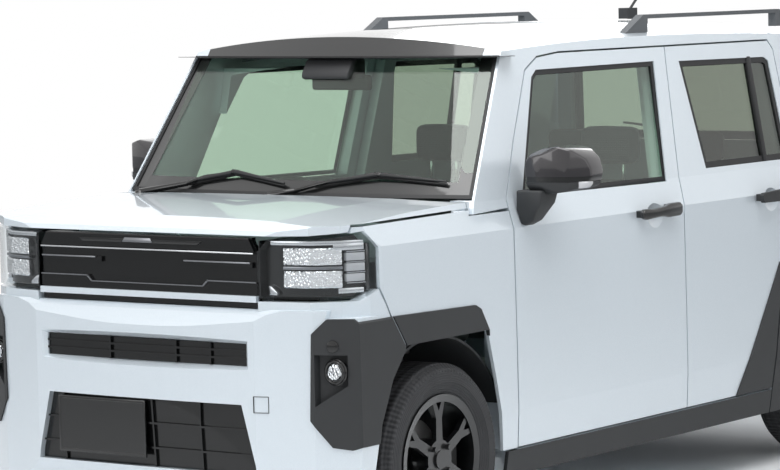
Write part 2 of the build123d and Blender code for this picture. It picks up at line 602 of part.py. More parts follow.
# One forked spoke, as (distance across it, distance from the hub)
SPOKE = [(-17, 40), (-15, 128), (-33, 184), (-17, 184), (0, 150), (17, 184), (33, 184), (15, 128), (17, 40)]
rim = revolve(make_face(Polyline(*RIM_SECTION, close=True)), Axis.X, 360)
rim += bar(29, 0, 0, 62, 66)
for count in range(6):
    rim += Rot(60 * count, 0, 0) * prism_yz(SPOKE, 44, 62)
for count in range(4):
    rim += Rot(45 + 90 * count, 0, 0) * Pos(0, 0, LUG_CIRCLE) * prism_yz(LUG, 60, 76)
rim += bar(65, 0, 0, 28, 8)
rim -= bar(STUB_END + 6 - 40, 0, 0, HUB_BORE, 80)
tyre = revolve(make_face(Polyline(*TYRE_SECTION, close=True)), Axis.X, 360)
WHEELS = [
    ("front_left", WHEEL_X, FRONT_AXLE_Y, 0),
    ("front_right", -WHEEL_X, FRONT_AXLE_Y, 180),
    ("rear_left", WHEEL_X, REAR_AXLE_Y, 0),
    ("rear_right", -WHEEL_X, REAR_AXLE_Y, 180),
]
for name, x, y, turn in WHEELS:
    place = Pos(x, y, TYRE_RADIUS) * Rot(0, 0, turn)
    nodes[f"rim_{name}"] = place * rim
    nodes[f"tyre_{name}"] = place * tyre

# Dashboard, steering wheel and seats
DASH = [(-745, 720), (-745, 975), (-640, 985), (-560, 950), (-545, 880), (-600, 740), (-660, 720)]
dash = prism_yz(DASH, -596, 596)
wheel_x, wheel_y, wheel_z = STEERING_WHEEL
seat = Pos(wheel_x, wheel_y, wheel_z) * Rot(STEERING_TILT - 90, 0, 0)
shroud = seat * Pos(0, 0, -118) * Cylinder(42, 160)
nodes["dashboard"] = dash + shroud
rim_section = Pos(176, 0) * RegularPolygon(15, 6)
steering = seat * revolve(Plane.XZ * rim_section, Axis.Z, 360) + seat * Pos(0, 0, -10) * Cylinder(52, 44)
for angle in (0, 180, 270):
    steering += seat * Rot(0, 0, angle) * Pos(105, 0, -10) * Box(150, 34, 16)
nodes["steering_wheel"] = steering
seats = []
SEAT_BACK = [(150, 460), (300, 480), (440, 1060), (350, 1080)]
for middle in (-355, 355):
    cushion = block(middle - 245, middle + 245, -330, 210, 340, 470)
    back = prism_yz(SEAT_BACK, middle - 240, middle + 240)
    head = block(middle - 125, middle + 125, 395, 475, 1090, 1240)
    post = block(middle - 60, middle + 60, 400, 420, 1040, 1100)
    runner = block(middle - 180, middle + 180, -300, 180, 250, 341)
    seats += (cushion + back + chamfer(head.edges(), 20) + post + runner).solids()
bench = block(-600, 600, 560, 975, LOAD_FLOOR_Z + 1, 560) + prism_yz(
    [(960, 470), (1080, 470), (1190, 1040), (1120, 1050)], -500, 500
)
for middle in (-270, 270):
    bench += chamfer(block(middle - 120, middle + 120, 1130, 1205, 1050, 1190).edges(), 20)
nodes["seats"] = Compound(children=[*seats, *bench.solids()])

# Every left node that moves or stands alone has a mirror image on the right
for name in [key for key in nodes if key.endswith("_left") and not key.startswith(("rim", "tyre"))]:
    nodes[name.replace("_left", "_right")] = mirrored(nodes[name])

os.makedirs("parts", exist_ok=True)
for name, shape in nodes.items():
    export_step(shape, f"parts/{name}.step")
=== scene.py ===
import json
import math

import bpy
from mathutils import Matrix, Vector


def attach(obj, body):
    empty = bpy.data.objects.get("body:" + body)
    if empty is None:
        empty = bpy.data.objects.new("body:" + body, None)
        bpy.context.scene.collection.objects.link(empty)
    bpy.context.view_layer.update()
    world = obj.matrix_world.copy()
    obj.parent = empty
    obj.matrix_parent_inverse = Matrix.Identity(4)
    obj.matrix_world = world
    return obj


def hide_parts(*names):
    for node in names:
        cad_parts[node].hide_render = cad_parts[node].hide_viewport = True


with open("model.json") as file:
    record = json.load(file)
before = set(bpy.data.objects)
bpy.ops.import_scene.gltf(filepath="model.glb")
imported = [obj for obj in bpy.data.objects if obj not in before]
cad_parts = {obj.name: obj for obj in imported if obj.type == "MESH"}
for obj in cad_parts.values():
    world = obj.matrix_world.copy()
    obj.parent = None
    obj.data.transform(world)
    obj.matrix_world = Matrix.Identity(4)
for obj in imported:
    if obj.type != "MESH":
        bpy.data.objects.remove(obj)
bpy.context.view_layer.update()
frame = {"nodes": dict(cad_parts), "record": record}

# The car's own frame: front at -Y, left side at +X, up +Z. One millimetre, and the places in metres:
MM = 0.001
FRONT_AXLE_Y = -1.142
REAR_AXLE_Y = 1.318
WHEEL_Z = 0.296
# The wheels' middles in millimetres, as the pieces use them, and the height that they share
AXLES = (("front", -1142), ("rear", 1318))
AXLE_HEIGHT = 296
# The photograph's camera: place in metres, angles in degrees, lens in millimetres, shift in picture widths
CAMERA_PLACE = (6.474, -9.273, 1.784)
CAMERA_AZIMUTH = 34.40
CAMERA_PITCH = 4.91
CAMERA_ROLL = -1.15
CAMERA_LENS = 151.8
CAMERA_SHIFT = (-0.1260, 0.0227)


def linear(hex_colour, alpha=1.0):
    """An sRGB hex colour as linear red, green, blue and alpha."""
    text = hex_colour.lstrip("#")
    channels = [int(text[i : i + 2], 16) / 255 for i in (0, 2, 4)]
    straight = [c / 12.92 if c <= 0.04045 else ((c + 0.055) / 1.055) ** 2.4 for c in channels]
    return (*straight, alpha)


def add(tree, kind, settings=None, **links):
    """Adds a node to a material with its settings and links. A link is a value or another node's output."""
    node = tree.nodes.new("ShaderNode" + kind)
    for name, value in (settings or {}).items():
        setattr(node, name, value)
    for name, value in links.items():
        key = name.replace("_", " ")
        socket = node.inputs[int(key[1:])] if key[0] == "i" and key[1:].isdigit() else node.inputs[key]
        if isinstance(value, bpy.types.NodeSocket):
            tree.links.new(value, socket)
        else:
            socket.default_value = value
    return node


def start(name):
    """A new material with an empty tree and its Object coordinates."""
    material = bpy.data.materials.new(name)
    material.use_nodes = True
    tree = material.node_tree
    tree.nodes.clear()
    place = add(tree, "TexCoord").outputs["Object"]
    return material, tree, place


def end(material, tree, shader):
    """Joins the shader to the material's output."""
    add(tree, "OutputMaterial", Surface=shader)
    return material


def result(tree, operation, first, second=None):
    """One step of arithmetic in a material, as the output that holds its result."""
    links = {"i0": first} if second is None else {"i0": first, "i1": second}
    return add(tree, "Math", {"operation": operation}, **links).outputs[0]


def pearl_paint():
    # Baked pearl enamel on steel: a pale ice blue that turns near white where light strikes, under clear coat
    material, tree, place = start("pearl_paint")
    flakes = add(tree, "TexVoronoi", Vector=place, Scale=1400.0)
    tint = add(tree, "ValToRGB", Fac=flakes.outputs["Color"])
    tint.color_ramp.elements[0].color = linear("#CBD5DD")
    tint.color_ramp.elements[1].color = linear("#DCE4EA")
    orange_peel = add(tree, "TexNoise", Vector=place, Scale=60.0, Detail=1.0)
    bump = add(tree, "Bump", Strength=0.02, Distance=0.001, Height=orange_peel.outputs["Fac"])
    shader = add(
        tree,
        "BsdfPrincipled",
        Base_Color=tint.outputs["Color"],
        Metallic=0.25,
        Roughness=0.34,
        Coat_Weight=1.0,
        Coat_Roughness=0.03,
        Coat_IOR=1.5,
        Normal=bump.outputs["Normal"],
    )
    return end(material, tree, shader.outputs["BSDF"])


def plain(name, colour, roughness, metallic=0.0, coat=0.0, grain=0.0, grain_mm=1.0, blotch=0.06):
    """A moulded or painted surface with slight colour change and, where asked, a moulded grain."""
    material, tree, place = start(name)
    cloud = add(tree, "TexNoise", Vector=place, Scale=9.0, Detail=4.0)
    base = linear(colour)
    tint = add(tree, "ValToRGB", Fac=cloud.outputs["Fac"])
    tint.color_ramp.elements[0].position = 0.3
    tint.color_ramp.elements[1].position = 0.7
    tint.color_ramp.elements[0].color = (*[c * (1 - blotch) for c in base[:3]], 1)
    tint.color_ramp.elements[1].color = (*[min(1, c * (1 + blotch)) for c in base[:3]], 1)
    pits = add(tree, "TexVoronoi", Vector=place, Scale=1000.0 / grain_mm)
    bump = add(tree, "Bump", Strength=grain, Distance=0.0006, Height=pits.outputs["Distance"])
    shader = add(
        tree,
        "BsdfPrincipled",
        Base_Color=tint.outputs["Color"],
        Metallic=metallic,
        Roughness=roughness,
        Coat_Weight=coat,
        Coat_Roughness=0.04,
        Normal=bump.outputs["Normal"],
    )
    return end(material, tree, shader.outputs["BSDF"])


# How much a pane reflects where it is seen head on, and how much more at its steepest
HEAD_ON_GLOSS = 0.05
EDGE_GLOSS = 0.6


def tinted_glass(name, colour, roughness=0.0):
    """Tempered glass with a body tint; thin panes, so light passes nearly straight through."""
    material, tree, place = start(name)
    waves = add(tree, "TexNoise", Vector=place, Scale=2.0)
    bump = add(tree, "Bump", Strength=0.01, Distance=0.001, Height=waves.outputs["Fac"])
    clear = add(tree, "BsdfTransparent", Color=linear(colour))
    gloss = add(tree, "BsdfGlossy", Color=(1, 1, 1, 1), Roughness=roughness, Normal=bump.outputs["Normal"])
    slant = add(tree, "LayerWeight", Blend=0.5)
    steep = result(tree, "POWER", slant.outputs["Facing"], 4.0)
    share = add(tree, "Math", {"operation": "MULTIPLY_ADD"}, i0=steep, i1=EDGE_GLOSS, i2=HEAD_ON_GLOSS)
    mix = add(tree, "MixShader", Fac=share.outputs[0], i1=clear.outputs["BSDF"], i2=gloss.outputs["BSDF"])
    return end(material, tree, mix.outputs["Shader"])


def facets(name, colour, roughness, cell_mm, depth_mm):
    """Aluminised plastic pressed into small facets, each of which throws back another part of the room."""
    material, tree, place = start(name)
    cells = add(tree, "TexVoronoi", Vector=place, Scale=1000.0 / cell_mm)
    bump = add(tree, "Bump", Strength=1.0, Distance=depth_mm * MM, Height=cells.outputs["Distance"])
    shader = add(
        tree,
        "BsdfPrincipled",
        Base_Color=linear(colour),
        Metallic=1.0,
        Roughness=roughness,
        Normal=bump.outputs["Normal"],
    )
    return end(material, tree, shader.outputs["BSDF"])


# The tyre's pattern: the radius in metres where the tread begins, then how fast its waves run: round the tread,
# across it and up the wall
TREAD_RADIUS = 0.270
TREAD_CUTS = 110.0
GROOVES = 210.0
WALL_RINGS = 900.0


def tyre_rubber(name, axle_y):
    # Moulded carbon-black rubber: a dull grey-black with fine cross cuts on the tread and rings on the wall
    material, tree, place = start(name)
    centred = add(tree, "Mapping", Vector=place, Location=(0, -axle_y, -WHEEL_Z))
    parts = add(tree, "SeparateXYZ", Vector=centred.outputs["Vector"])
    turn = result(tree, "ARCTAN2", parts.outputs["Z"], parts.outputs["Y"])
    wave = result(tree, "SINE", result(tree, "MULTIPLY", turn, TREAD_CUTS))
    flat = add(tree, "CombineXYZ", Y=parts.outputs["Y"], Z=parts.outputs["Z"])
    radius = add(tree, "VectorMath", {"operation": "LENGTH"}, i0=flat.outputs[0]).outputs["Value"]
    on_tread = result(tree, "GREATER_THAN", radius, TREAD_RADIUS)
    tread = result(tree, "MULTIPLY", wave, on_tread)
    across = result(tree, "ABSOLUTE", parts.outputs["X"])
    groove_wave = result(tree, "SINE", result(tree, "MULTIPLY", across, GROOVES))
    lines = result(tree, "MULTIPLY", groove_wave, on_tread)
    ring_wave = result(tree, "SINE", result(tree, "MULTIPLY", radius, WALL_RINGS))
    soft_rings = result(tree, "MULTIPLY", ring_wave, 0.3)
    height = result(tree, "ADD", result(tree, "ADD", tread, lines), soft_rings)
    bump = add(tree, "Bump", Strength=0.8, Distance=0.002, Height=height)
    dust = add(tree, "TexNoise", Vector=place, Scale=14.0, Detail=5.0)
    tint = add(tree, "ValToRGB", Fac=dust.outputs["Fac"])
    tint.color_ramp.elements[0].color = linear("#202123")
    tint.color_ramp.elements[1].color = linear("#333437")
    shader = add(
        tree,
        "BsdfPrincipled",
        Base_Color=tint.outputs["Color"],
        Roughness=0.75,
        Normal=bump.outputs["Normal"],
    )
    return end(material, tree, shader.outputs["BSDF"])


def woven_cloth(name, warp, weft, thread_mm):
    # Woven polyester seat cloth: threads drawn at four millimetres so that they show, with a soft sheen
    material, tree, place = start(name)
    full_turn = 6.28
    scale = 1000.0 / thread_mm / full_turn
    over = add(tree, "TexWave", {"bands_direction": "X"}, Vector=place, Scale=scale)
    under = add(tree, "TexWave", {"bands_direction": "Z"}, Vector=place, Scale=scale)
    weave = result(tree, "MULTIPLY", over.outputs["Fac"], under.outputs["Fac"])
    tint = add(tree, "ValToRGB", Fac=weave)
    tint.color_ramp.elements[0].color = linear(warp)
    tint.color_ramp.elements[1].color = linear(weft)
    bump = add(tree, "Bump", Strength=0.5, Distance=0.001, Height=weave)
    shader = add(
        tree,
        "BsdfPrincipled",
        Base_Color=tint.outputs["Color"],
        Roughness=0.9,
        Sheen_Weight=0.3,
        Normal=bump.outputs["Normal"],
    )
    return end(material, tree, shader.outputs["BSDF"])


PAINT = pearl_paint()
# Electro-coated steel under a thin base coat
STRUCTURE_PAINT = plain("primer_and_base_coat", "#B9C3CB", 0.45, coat=0.3)
# Baked black enamel on steel, under clear coat
BLACK_PAINT = plain("black_enamel", "#0B0C0D", 0.25, coat=1.0)
# Injection-moulded polypropylene with a leather-like grain from its mould
GRAINED = plain("grained_polypropylene", "#242628", 0.6, grain=0.35, grain_mm=1.4)
# Injection-moulded ABS from a polished mould
GLOSS_BLACK = plain("gloss_black_abs", "#090A0B", 0.22, coat=0.3)
# Moulded ABS, painted with a dark metallic lacquer
GRILLE_DARK = plain("smoked_metallic_abs", "#111213", 0.25, metallic=0.4, coat=0.3)
# Moulded polypropylene with a fine grain
DASH_PLASTIC = plain("dash_plastic", "#232426", 0.6, grain=0.3, grain_mm=1.6)
# Knitted polyester over foam
SEAT_CLOTH = plain("seat_cloth", "#3A3D40", 0.95, grain=0.6, grain_mm=2.0)
# Stamped steel wheels in baked black enamel
WHEEL_PAINT = plain("black_wheel_enamel", "#141517", 0.3, metallic=0.3, coat=0.8)
# Vulcanised rubber, moulded
RUBBER = plain("tyre_rubber", "#1A1B1C", 0.8, grain=0.2, grain_mm=2.5)
# Sand-cast iron, left rough
CAST_IRON = plain("cast_iron", "#2A2A2A", 0.7, metallic=0.4, grain=0.4, grain_mm=3.0)
# Rolled stainless pipe, dulled by heat
PIPE_STEEL = plain("exhaust_steel", "#7C7973", 0.4, metallic=1.0)
# Moulded glass-filled nylon
RAIL_GREY = plain("rail_plastic", "#55585B", 0.5, grain=0.2)
# Tanned and dyed hide, sewn over foam
LEATHER = plain("wheel_leather", "#17181A", 0.5, grain=0.5, grain_mm=1.8)
# Moulded red acrylic
RED_LENS = plain("red_lens", "#7A0F12", 0.1, coat=1.0)
# Moulded heat-proof plastic, dark and smooth
LAMP_BODY = plain("lamp_housing", "#0E0F10", 0.25, coat=0.6)
# Float glass tinted green by iron, tempered
CLEAR_GREEN = tinted_glass("green_tinted_glass", "#E4EEE6")
DARK_GLASS = tinted_glass("privacy_glass", "#CCD1C9")
ROOF_GLASS = tinted_glass("smoked_roof_glass", "#6A7070")
# Moulded polycarbonate with a hard coat
CLEAR_LENS = tinted_glass("clear_polycarbonate", "#F4F6F7")
# Moulded plastic with vapour-coated aluminium
REFLECTOR = facets("aluminised_reflector", "#D9DADC", 0.12, 9.0, 4.0)
# Plated plastic, satin
SILVER = plain("satin_chrome_plating", "#C9CBCE", 0.22, metallic=1.0)
# Plated plastic under a smoked lacquer
DIM_SILVER = plain("smoked_chrome_plating", "#86888C", 0.28, metallic=1.0)
# Frosted acrylic in front of the light source
LAMP_WHITE = plain("frosted_diffuser", "#B9BABD", 0.4, coat=1.0)
# Extruded rubber
SEAL = plain("epdm_rubber_seal", "#141517", 0.55)
# Black ceramic paint fired onto the glass
FRIT = plain("black_ceramic_frit", "#0D0E0F", 0.3, coat=1.0)
# Moulded ABS in black pearl enamel
CAP_BLACK = plain("black_pearl_enamel", "#2A282B", 0.22, metallic=0.5, coat=1.0)
# Turned and ground steel
BRAKE_STEEL = plain("ground_brake_steel", "#8C8C8C", 0.35, metallic=1.0)
# Float glass, silvered at the back
SILVER_GLASS = plain("mirror_glass", "#E8EAEC", 0.02, metallic=1.0)
FRONT_TYRE = tyre_rubber("front_tyre_rubber", FRONT_AXLE_Y)
REAR_TYRE = tyre_rubber("rear_tyre_rubber", REAR_AXLE_Y)
WOVEN = woven_cloth("woven_seat_cloth", "#2C2F31", "#4A4E50", 4.0)

# The look of each of the record's slots
SLOT_LOOKS = {
    "body_paint": PAINT,
    "structure_paint": STRUCTURE_PAINT,
    "roof_black": BLACK_PAINT,
    "black_trim": GRAINED,
    "gloss_black": GLOSS_BLACK,
    "grille_dark": GRILLE_DARK,
    "lamp": LAMP_BODY,
    "rear_lamp_red": RED_LENS,
    "glass_clear": CLEAR_GREEN,
    "glass_dark": DARK_GLASS,
    "interior_plastic": DASH_PLASTIC,
    "seat_fabric": SEAT_CLOTH,
    "wheel_paint": WHEEL_PAINT,
    "tyre": RUBBER,
    "steel_parts": CAST_IRON,
    "pipe_metal": PIPE_STEEL,
    "rail_grey": RAIL_GREY,
    "steering_leather": LEATHER,
}

# Nodes whose look differs from their slot's
NODE_LOOKS = {
    "roof_glass": ROOF_GLASS,
    "headlamps": CLEAR_LENS,
    "tyre_front_left": FRONT_TYRE,
    "tyre_front_right": FRONT_TYRE,
    "tyre_rear_left": REAR_TYRE,
    "tyre_rear_right": REAR_TYRE,
}


def dress_nodes():
    """Gives every CAD node the look of its slot."""
    for entry in frame["record"]["subparts"]:
        node = frame["nodes"][entry["node"]]
        look = NODE_LOOKS.get(entry["node"]) or SLOT_LOOKS[entry["material_slot"]]
        node.data.materials.clear()
        node.data.materials.append(look)


def place_camera():
    """The camera at the photograph's viewing angle, with a slight roll and lens shift for its framing."""
    lens = bpy.data.cameras.new("camera")
    lens.sensor_width = 36
    lens.lens = CAMERA_LENS
    lens.shift_x, lens.shift_y = CAMERA_SHIFT
    lens.clip_end = 100
    camera = bpy.data.objects.new("camera", lens)
    bpy.context.scene.collection.objects.link(camera)
    azimuth = math.radians(CAMERA_AZIMUTH)
    pitch = math.radians(CAMERA_PITCH)
    roll = math.radians(CAMERA_ROLL)
    level = math.cos(pitch)
    ahead = Vector((-math.sin(azimuth) * level, math.cos(azimuth) * level, -math.sin(pitch)))
    right = Vector((math.cos(azimuth), math.sin(azimuth), 0))
    up = right.cross(ahead)
    right_rolled = math.cos(roll) * right + math.sin(roll) * up
    up_rolled = -math.sin(roll) * right + math.cos(roll) * up
    turn = Matrix((right_rolled, up_rolled, -ahead)).transposed().to_4x4()
    camera.matrix_world = Matrix.Translation(CAMERA_PLACE) @ turn
    bpy.context.scene.camera = camera


def mm(*values):
    """Millimetres as metres."""
    return tuple(value * MM for value in values)


def deselect():
    """Leaves no object selected."""
    bpy.ops.object.select_all(action="DESELECT")


def only(piece):
    """Selects one piece and makes it the active one."""
    deselect()
    piece.select_set(True)
    bpy.context.view_layer.objects.active = piece


def modify(piece, kind, **settings):
    """Adds a modifier with its settings and applies it."""
    only(piece)
    modifier = piece.modifiers.new(kind.lower(), kind)
    for name, value in settings.items():
        setattr(modifier, name, value)
    bpy.ops.object.modifier_apply(modifier=modifier.name)


def cut(piece, place, normal):
    """Cuts the piece with a plane, drops what lies in front of it and closes the cut."""
    only(piece)
    bpy.ops.object.mode_set(mode="EDIT")
    bpy.ops.mesh.select_all(action="SELECT")
    bpy.ops.mesh.bisect(plane_co=mm(*place), plane_no=normal, use_fill=True, clear_outer=True)
    bpy.ops.object.mode_set(mode="OBJECT")


def soften(piece, bevel, segments):
    """Rounds the sharp edges by a width in millimetres."""
    if bevel:
        sharp = {"limit_method": "ANGLE", "use_clamp_overlap": True}
        modify(piece, "BEVEL", width=bevel * MM, segments=segments, **sharp)


def shrink(piece, middle, shares):
    """Makes a piece smaller about a point in millimetres, by a share along each axis."""
    place = Vector(mm(*middle))
    smaller = Matrix.Translation(place) @ Matrix.Diagonal((*shares, 1)) @ Matrix.Translation(-place)
    piece.data.transform(smaller)


def turned(piece, about, angle, axis, to=None):
    """Turns a piece about a point in millimetres, and moves that point if another is given."""
    back = Matrix.Translation(mm(*[-value for value in about]))
    piece.data.transform(Matrix.Translation(mm(*(to or about))) @ Matrix.Rotation(angle, 4, axis) @ back)


def twin_of(piece):
    """The piece's mirror image on the car's right side, with its own mesh."""
    twin = piece.copy()
    twin.data = piece.data.copy()
    twin.name = piece.name.replace("_left", "_right")
    bpy.context.scene.collection.objects.link(twin)
    twin.data.transform(Matrix.Scale(-1, 4, (1, 0, 0)))
    twin.data.flip_normals()
    return twin


def dress(piece, name, look, body="body", angle=32, paired=False):
    """Names and finishes a piece, gives it its look and its body, and makes its twin if asked."""
    only(piece)
    bpy.ops.object.transform_apply(location=True, rotation=True, scale=True)
    bpy.ops.object.shade_smooth_by_angle(angle=math.radians(angle))
    piece.name = name
    piece.data.materials.clear()
    piece.data.materials.append(look)
    made = [piece]
    if paired:
        made.append(twin_of(piece))
    for one in made:
        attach(one, body if one is piece else body.replace("_left", "_right"))
    return made if paired else piece


def block(low, high, bevel=3, segments=2, cuts=()):
    """A cube primitive between two corners in millimetres, cut by planes, with its edges rounded."""
    deselect()
    bpy.ops.mesh.primitive_cube_add(size=1, location=mm(*[(a + b) / 2 for a, b in zip(low, high)]))
    piece = bpy.context.object
    piece.scale = mm(*[b - a for a, b in zip(low, high)])
    bpy.ops.object.transform_apply(location=True, rotation=True, scale=True)
    for place, normal in cuts:
        cut(piece, place, normal)
    soften(piece, bevel, segments)
    return piece


def slab(outline, axis, near, far, bevel=2, segments=2):
    """A flat primitive with its corners on an outline in millimetres, drawn out along an axis."""
    deselect()
    bpy.ops.mesh.primitive_circle_add(vertices=len(outline), fill_type="NGON")
    piece = bpy.context.object
    for corner, (a, b) in zip(piece.data.vertices, outline):
        corner.co = mm(*{"x": (near, a, b), "y": (a, near, b), "z": (a, b, near)}[axis])
    step = {"x": (far - near, 0, 0), "y": (0, far - near, 0), "z": (0, 0, far - near)}[axis]
    bpy.ops.object.mode_set(mode="EDIT")
    bpy.ops.mesh.select_all(action="SELECT")
    bpy.ops.mesh.extrude_region_move(TRANSFORM_OT_translate={"value": mm(*step)})
    bpy.ops.mesh.select_all(action="SELECT")
    bpy.ops.mesh.normals_make_consistent(inside=False)
    bpy.ops.object.mode_set(mode="OBJECT")
    soften(piece, bevel, segments)
    return piece


def rod(start_point, end_point, radius, end_radius=None, sides=20, bevel=1):
    """A round bar between two points in millimetres, with rounded ends."""
    a, b = Vector(mm(*start_point)), Vector(mm(*end_point))
    deselect()
    bpy.ops.mesh.primitive_cone_add(
        vertices=sides,
        radius1=radius * MM,
        radius2=(end_radius or radius) * MM,
        depth=(b - a).length,
        location=(a + b) / 2,
        rotation=(b - a).to_track_quat("Z", "Y").to_euler(),
    )
    piece = bpy.context.object
    bpy.ops.object.transform_apply(location=True, rotation=True, scale=True)
    soften(piece, bevel, 2)
    return piece


def ring(middle, axis, radius, thickness, sides=40):
    """A torus primitive round an axis, in millimetres."""
    deselect()
    bpy.ops.mesh.primitive_torus_add(
        major_segments=sides,
        minor_segments=10,
        major_radius=radius * MM,
        minor_radius=thickness * MM,
        location=mm(*middle),
        rotation=Vector(axis).to_track_quat("Z", "Y").to_euler(),
    )
    piece = bpy.context.object
    bpy.ops.object.transform_apply(location=True, rotation=True, scale=True)
    return piece


def joined(pieces):
    """Several shapes as one piece."""
    deselect()
    for piece in pieces:
        piece.select_set(True)
    bpy.context.view_layer.objects.active = pieces[0]
    bpy.ops.object.join()
    return bpy.context.object


def copy_of(node):
    """A CAD node's mesh in a new object, with its doubles merged."""
    source = frame["nodes"][node]
    piece = bpy.data.objects.new("copy", source.data.copy())
    bpy.context.scene.collection.objects.link(piece)
    only(piece)
    bpy.ops.object.mode_set(mode="EDIT")
    bpy.ops.mesh.select_all(action="SELECT")
    bpy.ops.mesh.remove_doubles(threshold=0.00005)
    bpy.ops.mesh.dissolve_limited(angle_limit=math.radians(1))
    bpy.ops.object.mode_set(mode="OBJECT")
    return piece


def keep_faces(piece, wanted):
    """Keeps only the faces whose index is wanted."""
    only(piece)
    bpy.ops.object.mode_set(mode="EDIT")
    bpy.ops.mesh.select_mode(type="FACE")
    bpy.ops.mesh.select_all(action="DESELECT")
    bpy.ops.object.mode_set(mode="OBJECT")
    for face in piece.data.polygons:
        face.select = face.index not in wanted
    bpy.ops.object.mode_set(mode="EDIT")
    bpy.ops.mesh.delete(type="FACE")
    bpy.ops.object.mode_set(mode="OBJECT")


def pane_border(node, outward, width, lift, thickness):
    """A band round a pane's edge: the pane's outer faces are copied, inset and thickened, in millimetres."""
    piece = copy_of(node)
    out = Vector(outward)
    keep_faces(piece, {f.index for f in piece.data.polygons if f.normal.dot(out) > 0.5})
    bpy.ops.object.mode_set(mode="EDIT")
    bpy.ops.mesh.select_all(action="SELECT")
    bpy.ops.mesh.inset(thickness=width * MM, use_boundary=True, use_even_offset=True)
    bpy.ops.mesh.delete(type="FACE")
    bpy.ops.mesh.select_all(action="SELECT")
    bpy.ops.mesh.normals_make_consistent(inside=False)
    bpy.ops.object.mode_set(mode="OBJECT")
    facing = sum(f.area * f.normal.dot(out) for f in piece.data.polygons)
    if facing < 0:
        piece.data.flip_normals()
    piece.data.transform(Matrix.Translation(out.normalized() * lift * MM))
    modify(piece, "SOLIDIFY", thickness=thickness * MM, offset=-1.0)
    return piece


# Plan lines inside the headlamp's lens, as (distance across, distance along) in millimetres
REFLECTOR_PLAN = [
    (502, -1627), (590, -1609), (659, -1557), (664, -1548), (648, -1541), (585, -1590), (505, -1607),
]
BROW_PLAN = [
    (462, -1634), (590, -1609), (659, -1557), (697, -1488),
    (684, -1484), (648, -1550), (586, -1599), (464, -1623),
]
WEDGE_PLAN = [(644, -1568), (660, -1557), (698, -1487), (684, -1481), (648, -1545), (638, -1556)]
SIDE_BLOCK_PLAN = [(670, -1538), (699, -1484), (684, -1477), (654, -1532)]
SIDE_BLOCKS = (876, 907, 938)
SIDE_BLOCK_BARS = (871, 902, 933, 964)
# The hook beside the grille is drawn in front view instead, as (distance across, height)
INNER_HOOK = [(454, 866), (466, 862), (486, 846), (486, 838), (458, 838)]
OUTER_HOOK_PLAN = [(655, -1560), (696, -1488), (684, -1482), (644, -1552)]


def make_headlamps():
    """Dark bowls with reflector rows, a bright brow, side blocks and hooks, behind the clear lens."""
    bowl = copy_of("headlamps")
    cut(bowl, (10, 0, 0), (-1, 0, 0))
    # The bowl is the lens's own form, made smaller about its middle and cut back from the lens on three sides
    shrink(bowl, (580, -1461, 921), (0.955, 0.80, 0.955))
    cut(bowl, (500, -1612, 921), (0.198, -0.980, 0))
    cut(bowl, (586, -1595, 921), (0.607, -0.795, 0))
    cut(bowl, (650, -1540, 921), (0.881, -0.473, 0))
    dress(bowl, "lamp_bowl_left", LAMP_BODY, paired=True)
    walls = [
        block((434.5, -1655, 832), (438, -1465, 1000), bevel=0),
        block((650, -1480, 848), (704, -1468, 988), bevel=1),
    ]
    dress(joined(walls), "lamp_walls_left", LAMP_BODY, paired=True)
    for name, low, high in (("upper", 926, 979), ("lower", 858, 911)):
        row = slab(REFLECTOR_PLAN, "z", low, high, bevel=5)
        dress(row, f"{name}_reflector_left", REFLECTOR, angle=20, paired=True)
    divider = slab(REFLECTOR_PLAN, "z", 914, 923, bevel=1)
    dress(divider, "reflector_divider_left", DIM_SILVER, paired=True)
    brow = joined([slab(BROW_PLAN, "z", 986, 999), slab(WEDGE_PLAN, "z", 970, 990)])
    dress(brow, "lamp_brow_left", SILVER, paired=True)
    blocks = [slab(SIDE_BLOCK_PLAN, "z", low, low + 24, bevel=3) for low in SIDE_BLOCKS]
    dress(joined(blocks), "lamp_side_blocks_left", LAMP_WHITE, paired=True)
    frame_bars = [slab(SIDE_BLOCK_PLAN, "z", low, low + 3, bevel=0) for low in SIDE_BLOCK_BARS]
    dress(joined(frame_bars), "lamp_block_frames_left", SILVER, paired=True)
    inner = slab(INNER_HOOK, "y", -1637, -1622, bevel=1)
    outer = slab(OUTER_HOOK_PLAN, "z", 842, 858, bevel=2)
    dress(joined([inner, outer]), "lamp_hooks_left", SILVER, paired=True)


def make_grille_trim():
    """Bright lines and dark recesses on the smoked grille, as on the real one but without its lettering."""
    line = block((-419, -1664, 959), (419, -1654, 963.5), bevel=1)
    dress(line, "grille_band_line", SILVER)
    notches = [
        slab([(-262, 992), (-80, 992), (-92, 981), (-246, 981)], "y", -1664, -1655, bevel=1),
        slab([(24, 992), (224, 992), (206, 981), (36, 981)], "y", -1664, -1655, bevel=1),
    ]
    dress(joined(notches), "grille_band_notches", GLOSS_BLACK)
    bright = slab([(-78, 996), (22, 996), (32, 982), (-90, 982)], "y", -1663.4, -1656, bevel=1)
    dress(bright, "grille_band_plate", DIM_SILVER)
    bars = [block((x0, -1661, 930), (x1, -1652, 934.5), bevel=1) for x0, x1 in ((-418, -200), (150, 404))]
    dress(joined(bars), "grille_side_lines", DIM_SILVER)
    step_line = [
        block((-424, -1658, 873), (-234, -1650, 876.5), bevel=0),
        slab([(-236, 876.5), (-218, 859), (-221, 856), (-240, 873)], "y", -1658, -1650, bevel=0),
        block((-220, -1658, 856), (220, -1650, 859), bevel=0),
        slab([(236, 876.5), (218, 859), (221, 856), (240, 873)], "y", -1658, -1650, bevel=0),
        block((234, -1658, 873), (424, -1650, 876.5), bevel=0),
    ]
    dress(joined(step_line), "grille_stepped_line", DIM_SILVER)


